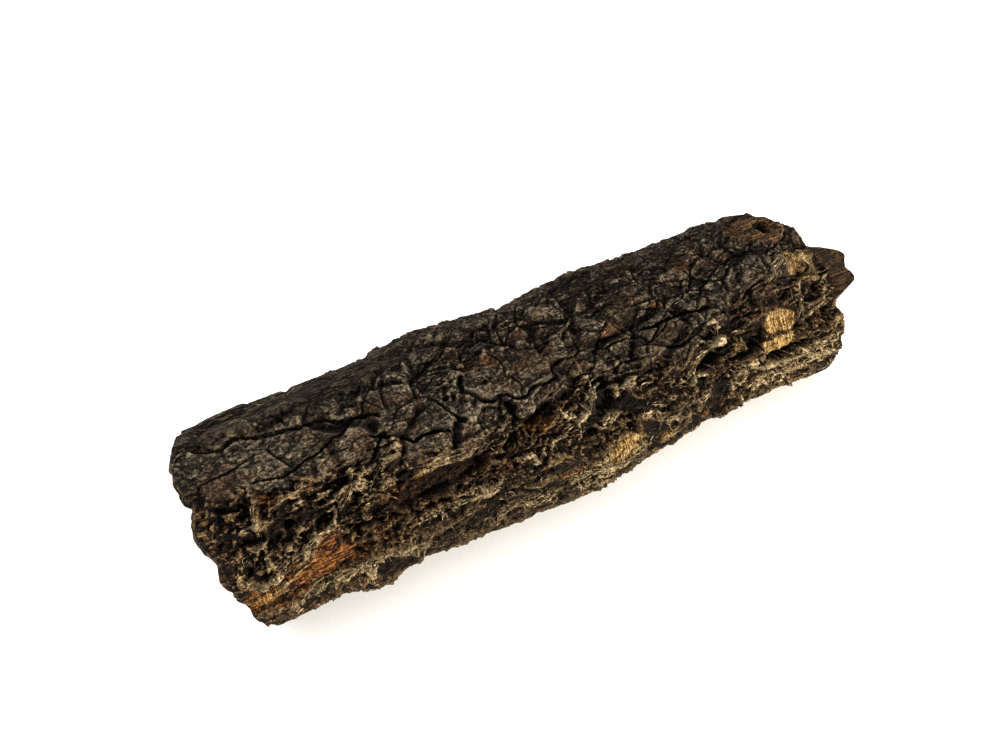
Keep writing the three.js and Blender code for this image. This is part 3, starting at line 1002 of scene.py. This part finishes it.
class Nodes:
    """A material's node tree, built by short calls."""

    def __init__(self, name):
        self.material = bpy.data.materials.new(name)
        self.material.use_nodes = True
        self.tree = self.material.node_tree
        self.shader = self.tree.nodes["Principled BSDF"]

    def add(self, kind, **settings):
        node = self.tree.nodes.new(kind)
        for key, value in settings.items():
            setattr(node, key, value)
        return node

    def put(self, socket, value):
        if isinstance(value, bpy.types.NodeSocket):
            self.tree.links.new(value, socket)
        else:
            socket.default_value = value

    def mask(self, name):
        return self.add("ShaderNodeAttribute", attribute_name=name).outputs["Fac"]

    def texture(self, kind, spot, **inputs):
        node = self.add(kind)
        self.put(node.inputs["Vector"], spot)
        for name, value in inputs.items():
            node.inputs[name].default_value = value
        return node

    def vector(self, operation, a, b):
        node = self.add("ShaderNodeVectorMath", operation=operation)
        self.put(node.inputs[0], a)
        self.put(node.inputs[1], b)
        return node.outputs

    def points(self, size, stretch, warp=0.0):
        """The surface's own coordinates, counted in grains of about size millimetres."""
        mapping = self.add("ShaderNodeMapping")
        self.put(mapping.inputs["Vector"], self.add("ShaderNodeTexCoord").outputs["Object"])
        mapping.inputs["Scale"].default_value = [1 / (size * MM * s) for s in stretch]
        straight = mapping.outputs["Vector"]
        if not warp:
            return straight
        wander = self.texture("ShaderNodeTexNoise", straight, Scale=1.3, Detail=2.0)
        scaled = self.add("ShaderNodeVectorMath", operation="SCALE")
        self.put(scaled.inputs[0], wander.outputs["Color"])
        scaled.inputs["Scale"].default_value = warp
        return self.vector("ADD", straight, scaled.outputs["Vector"])["Vector"]

    def crackle(self, size, stretch, width, warp=1.2):
        """Thin cracks between cells of about size millimetres."""
        node = self.texture("ShaderNodeTexVoronoi", self.points(size, stretch, warp), Scale=1.0)
        node.feature = "DISTANCE_TO_EDGE"
        return self.range(node.outputs["Distance"], 0.0, width, 1.0, 0.0)

    def noise(self, size, stretch=(1, 1, 1), detail=2.0, roughness=0.6):
        spot = self.points(size, stretch)
        return self.texture("ShaderNodeTexNoise", spot, Scale=1.0, Detail=detail,
                            Roughness=roughness).outputs["Fac"]

    def sum(self, *terms):
        """Values added up, each times its weight."""
        total = None
        for value, weight in terms:
            part = self.times(value, weight)
            total = part if total is None else self.math("ADD", total, part)
        return total

    def facets(self, size, stretch):
        """The height of broken facets, each with a lean of its own, and a tone for each."""
        spot = self.points(size, stretch)
        node = self.texture("ShaderNodeTexVoronoi", spot, Scale=1.0)
        away = self.vector("SUBTRACT", spot, node.outputs["Position"])["Vector"]
        lean = self.vector("SUBTRACT", node.outputs["Color"], (0.5, 0.5, 0.5))["Vector"]
        split = self.add("ShaderNodeSeparateColor")
        self.put(split.inputs["Color"], node.outputs["Color"])
        return self.vector("DOT_PRODUCT", away, lean)["Value"], split.outputs["Red"]

    def lace(self, size, stretch, width):
        """Crests that wander over the surface, from 0 in the hollows to 1 along the tops."""
        away = self.math("ABSOLUTE", self.math("SUBTRACT", self.noise(size, stretch), 0.5))
        return self.range(away, 0.0, width, 1.0, 0.0)

    def math(self, operation, a, b=0.5):
        node = self.add("ShaderNodeMath", operation=operation)
        self.put(node.inputs[0], a)
        self.put(node.inputs[1], b)
        return node.outputs[0]

    def times(self, a, b):
        return self.math("MULTIPLY", a, b)

    def most(self, a, b):
        return self.math("MAXIMUM", a, b)

    def range(self, value, low, high, out_low=0.0, out_high=1.0):
        node = self.add("ShaderNodeMapRange", interpolation_type="SMOOTHSTEP")
        self.put(node.inputs["Value"], value)
        limits = {"From Min": low, "From Max": high, "To Min": out_low, "To Max": out_high}
        for name, limit in limits.items():
            node.inputs[name].default_value = limit
        return node.outputs["Result"]

    def mix(self, share, a, b):
        node = self.add("ShaderNodeMix", data_type="RGBA")
        self.put(node.inputs["Factor"], share)
        self.put(node.inputs["A"], a)
        self.put(node.inputs["B"], b)
        return node.outputs["Result"]


def colour(red, green, blue):
    """A linear colour from display values of 0 to 255."""
    def linear(value):
        share = value / 255
        return share / 12.92 if share <= 0.04045 else ((share + 0.055) / 1.055) ** 2.4
    return (linear(red), linear(green), linear(blue), 1.0)


# Near black for painted shade in hollows, pits, gaps, cracks and between fibres.
PAINTED_SHADE = colour(8, 6, 5)
DARK_BARK = colour(26, 21, 16)
GREY_BARK = colour(150, 136, 116)
BROWN_BARK = colour(64, 46, 32)
DARK_BROWN = colour(24, 17, 12)
CREAM = colour(236, 212, 166)
TAN = colour(128, 98, 62)
ORANGE = colour(172, 110, 54)
DARK_ORANGE = colour(40, 22, 11)
GOLD = colour(222, 186, 122)
DARK_GOLD = colour(96, 66, 34)
RED_BROWN = colour(20, 12, 9)
RUST = colour(88, 54, 32)
KNOT_BROWN = colour(138, 106, 74)
INNER_LIGHT = colour(88, 66, 46)
INNER_DARK = colour(26, 19, 14)
FLOOR_DARK = colour(237, 240, 245)
FLOOR_LIGHT = colour(241, 244, 249)
BUMP_HEIGHT = 1.1


def bark_material():
    """Weathered grey plates, crumbly cream cork, bare patches, lining and rims, mixed by masks."""
    # Hollows, pits, gaps and cracks get painted shade, and crests painted highlight.
    n = Nodes("cork_bark")
    dust = n.range(n.noise(0.9, (1.4, 1, 1), roughness=0.8), 0.4, 0.6)
    speck = n.range(n.noise(1.7, (1.4, 1, 1), roughness=0.7), 0.43, 0.57)
    grain = n.range(n.noise(2.8, (1.6, 1, 1), detail=3, roughness=0.75), 0.4, 0.6)
    mottle = n.range(n.noise(9, detail=3, roughness=0.65), 0.36, 0.64)
    clouds = n.noise(36)
    rust = n.range(n.noise(15, (1.6, 1, 1), detail=3, roughness=0.7), 0.48, 0.62)
    fibres = n.range(n.noise(1.1, (12, 1, 1), roughness=0.7), 0.38, 0.62)
    cracked = n.range(n.noise(22, detail=1), 0.42, 0.56)
    fine_cracks = n.times(n.crackle(6, (1.6, 1, 1), 0.12), cracked)
    long_cracks = n.crackle(17, (1.8, 1, 1), 0.045, 1.8)
    cracks = n.most(fine_cracks, long_cracks)
    small_facet, small_tone = n.facets(1.5, (1.6, 1, 1))
    lace = n.sum((n.lace(6, (1.8, 1, 1), 0.07), 0.5), (n.lace(2.6, (2.4, 1, 1), 0.09), 0.5))
    # Hollows and crests of the relief, for painted shade and painted highlight.
    deep = n.mask("deep")
    crest = n.mask("crest")
    pale = n.mask("pale")
    crumb = n.mask("crumb")

    # Weathered bark's tone, made lighter on the crests as painted highlight.
    grey = n.sum((dust, 0.18), (speck, 0.3), (small_tone, 0.12), (grain, 0.2),
                 (mottle, 0.06), (n.mask("tone"), 0.12), (crest, 0.4), (n.mask("plate"), 0.1))
    weathered_with_painted_light = n.mix(n.range(grey, 0.38, 1.08), DARK_BARK, GREY_BARK)
    weathered_with_painted_light = n.mix(n.range(clouds, 0.5, 0.66, 0.0, 0.55), weathered_with_painted_light, BROWN_BARK)
    weathered_with_painted_light = n.mix(n.times(rust, 0.3), weathered_with_painted_light, RUST)
    # Painted shade in the cracks.
    weathered_with_painted_light = n.mix(n.times(cracks, 0.9), weathered_with_painted_light, PAINTED_SHADE)

    # The crumbs' own tone, darkened in the hollows as painted shade and lightened on the crests as painted
    # highlight: near black, brown, tan, then cream.
    level = n.sum((crest, 0.34), (pale, 0.12), (lace, 0.3), (dust, 0.14), (speck, 0.14), (small_tone, 0.1),
                  (n.mask("tone"), 0.2), (n.mask("cream"), 0.08))
    crumbly = n.mix(n.range(level, 0.33, 0.42), PAINTED_SHADE, DARK_BROWN)
    brown = n.mix(n.times(rust, 0.6), BROWN_BARK, RUST)
    crumbly = n.mix(n.range(level, 0.45, 0.54), crumbly, brown)
    crumbly = n.mix(n.range(level, 0.58, 0.68, 0.0, 0.85), crumbly, TAN)
    light = n.times(n.range(level, 0.62, 0.72), n.most(n.mask("cream"), pale))
    crumbly = n.mix(light, crumbly, CREAM)
    base = n.mix(n.most(crumb, pale), weathered_with_painted_light, crumbly)
    # Painted shade between the fibres, with pale fibre strands that show most on the crests.
    strand = n.times(n.mask("fibre"), n.range(n.sum((fibres, 0.7), (crest, 0.4)), 0.55, 0.69))
    base = n.mix(n.times(n.mask("fibre"), 0.9), base, PAINTED_SHADE)
    base = n.mix(strand, base, n.mix(n.mask("cream"), BROWN_BARK, CREAM))

    streak = n.sum((fibres, 0.55), (dust, 0.25), (speck, 0.2))
    orange = n.mix(n.range(streak, 0.38, 0.78), DARK_ORANGE, ORANGE)
    base = n.mix(n.mask("orange"), base, orange)
    red = n.mix(n.range(streak, 0.42, 0.92), RED_BROWN, RUST)
    base = n.mix(n.mask("red"), base, red)
    upright = n.range(n.noise(1.0, (1, 9, 9), roughness=0.7), 0.38, 0.62)
    gold = n.mix(n.range(n.sum((upright, 0.6), (dust, 0.3), (mottle, 0.2)), 0.2, 0.95), DARK_GOLD, GOLD)
    base = n.mix(n.mask("gold"), base, gold)
    base = n.mix(n.mask("knot"), base, n.mix(n.range(streak, 0.2, 0.9), DARK_BROWN, KNOT_BROWN))

    lining = n.mix(n.range(n.sum((streak, 0.7), (mottle, 0.4)), 0.4, 0.95), INNER_DARK, INNER_LIGHT)
    pale_lines = n.range(n.noise(3.4, (14, 1, 1), roughness=0.6), 0.56, 0.68, 0.0, 0.6)
    lining = n.mix(pale_lines, lining, TAN)
    # Painted shade in the lining's long cracks.
    lining = n.mix(n.times(long_cracks, 0.8), lining, PAINTED_SHADE)
    base = n.mix(n.mask("inside"), base, lining)
    broken = n.mix(n.range(grain, 0.2, 1.0), DARK_BROWN, TAN)
    base = n.mix(n.mask("rim"), base, broken)

    # Painted shade in the hollows, pits and gaps.
    shade = n.most(deep, n.mask("pit"))
    shade = n.most(shade, n.mask("gap"))
    base = n.mix(n.times(shade, 0.9), base, PAINTED_SHADE)
    # Painted shade on the low side of each small facet.
    base = n.mix(n.range(small_facet, -0.25, 0.05, 0.65, 0.0), base, PAINTED_SHADE)
    n.put(n.shader.inputs["Base Color"], base)
    n.shader.inputs["Roughness"].default_value = 0.92
    n.shader.inputs["Specular IOR Level"].default_value = 0.12

    height = n.sum((dust, 0.4), (speck, 0.6), (n.times(upright, n.mask("gold")), 0.8),
                   (grain, 0.4), (fibres, 0.3), (cracks, -0.8), (small_facet, 1.5),
                   (n.times(lace, crumb), 1.6))
    bump = n.add("ShaderNodeBump")
    bump.inputs["Strength"].default_value = 1.0
    bump.inputs["Distance"].default_value = BUMP_HEIGHT * MM
    n.put(bump.inputs["Height"], height)
    n.put(n.shader.inputs["Normal"], bump.outputs["Normal"])
    return n.material


# The stage, in metres.
FLOOR_SIZE = 12
COVE_RADIUS = 9


def floor_material():
    n = Nodes("pale_floor")
    speckle = n.noise(3.0, detail=3)
    tint = n.mix(n.range(speckle, 0.3, 0.7), FLOOR_DARK, FLOOR_LIGHT)
    n.put(n.shader.inputs["Base Color"], tint)
    n.shader.inputs["Roughness"].default_value = 0.9
    n.shader.inputs["Specular IOR Level"].default_value = 0.0
    return n.material


def make_floor():
    bpy.ops.mesh.primitive_plane_add(size=FLOOR_SIZE)
    floor = bpy.context.object
    floor.name = "floor"
    floor.data.materials.append(floor_material())
    return floor


def make_backdrop():
    """A white cove all round, which shows but throws no light or shade on the bark."""
    bpy.ops.mesh.primitive_uv_sphere_add(segments=64, ring_count=32, radius=COVE_RADIUS)
    cove = bpy.context.object
    cove.name = "backdrop"
    n = Nodes("white_cove")
    n.shader.inputs["Base Color"].default_value = (0, 0, 0, 1)
    n.shader.inputs["Emission Color"].default_value = (1, 1, 1, 1)
    n.shader.inputs["Emission Strength"].default_value = 1.0
    n.material.cycles.emission_sampling = "NONE"
    cove.data.materials.append(n.material)
    cove.visible_diffuse = False
    cove.visible_glossy = False
    cove.visible_transmission = False
    cove.visible_shadow = False


# The photograph's camera: where it stands, which way it looks and its focal length in pixels.
CAMERA_AT = (-206.4, -246.6, 460.3)
CAMERA_AZIMUTH = -27.3
CAMERA_ELEVATION = 52.0
FOCAL_PIXELS = 755
IMAGE_WIDTH = 1000
SENSOR_WIDTH = 36.0


def make_camera():
    """A camera where the photograph's stood."""
    azimuth = math.radians(CAMERA_AZIMUTH)
    elevation = math.radians(CAMERA_ELEVATION)
    back = Vector((math.sin(azimuth) * math.cos(elevation),
                   -math.cos(azimuth) * math.cos(elevation), math.sin(elevation)))
    right = Vector((math.cos(azimuth), math.sin(azimuth), 0))
    up = back.cross(right)
    camera = bpy.data.objects.new("camera", bpy.data.cameras.new("camera"))
    camera.data.sensor_width = SENSOR_WIDTH
    camera.data.lens = SENSOR_WIDTH * FOCAL_PIXELS / IMAGE_WIDTH
    camera.data.clip_start = 0.01
    axes = Matrix((right, up, back)).transposed().to_4x4()
    camera.matrix_world = Matrix.Translation(Vector(CAMERA_AT) * MM) @ axes
    bpy.context.scene.collection.objects.link(camera)
    bpy.context.scene.camera = camera


# Soft lights in metres and watts, where they aim, the floor's wash and the world's light.
LIGHTS = [
    dict(name="key", at=(0.8, -1.45, 0.46), size=0.14, power=78, tint=(1.0, 0.89, 0.72)),
    dict(name="sky", at=(-0.3, 0.3, 2.0), size=2.4, power=15, tint=(0.94, 0.97, 1.0)),
    dict(name="behind", at=(-0.6, 1.6, 1.0), size=0.6, power=34, tint=(1.0, 0.91, 0.78)),
]
LIGHT_AIM = Vector((-0.05, 0, 0.06))
WASH_POWER = 2.0
WASH_SPREAD = math.radians(120)
WORLD_TINT = (1.0, 0.99, 0.97, 1.0)
WORLD_POWER = 0.35


def area_light(name, at, size, power, tint):
    light = bpy.data.lights.new(name, "AREA")
    light.shape = "DISK"
    light.size = size
    light.energy = power
    light.color = tint
    thing = bpy.data.objects.new(name, light)
    turn = (LIGHT_AIM - Vector(at)).to_track_quat("-Z", "Y").to_matrix().to_4x4()
    thing.matrix_world = Matrix.Translation(at) @ turn
    bpy.context.scene.collection.objects.link(thing)


def make_light(floor):
    """The soft lights, a wash that lights the floor alone, and a pale world."""
    for light in LIGHTS:
        area_light(**light)
    wash = bpy.data.objects.new("wash", bpy.data.lights.new("wash", "SUN"))
    wash.data.energy = WASH_POWER
    wash.data.angle = WASH_SPREAD
    bpy.context.scene.collection.objects.link(wash)
    lit_by_wash = bpy.data.collections.new("lit_by_wash")
    lit_by_wash.objects.link(floor)
    wash.light_linking.receiver_collection = lit_by_wash
    world = bpy.data.worlds.new("studio")
    world.use_nodes = True
    background = world.node_tree.nodes["Background"]
    background.inputs["Color"].default_value = WORLD_TINT
    background.inputs["Strength"].default_value = WORLD_POWER
    bpy.context.scene.world = world
    bpy.context.scene.view_settings.view_transform = "Standard"


rng = np.random.default_rng(SEED)
angles = column_angles()
outer, masks = outer_grid(angles)
pieces = bark_lengths(angles, outer, inner_grid(angles), masks)
pieces.append(strand_pieces(Skin(outer, masks, angles), rng))
material = bark_material()
for piece in pieces:
    piece.data.materials.append(material)

floor = make_floor()
make_backdrop()
make_camera()
make_light(floor)
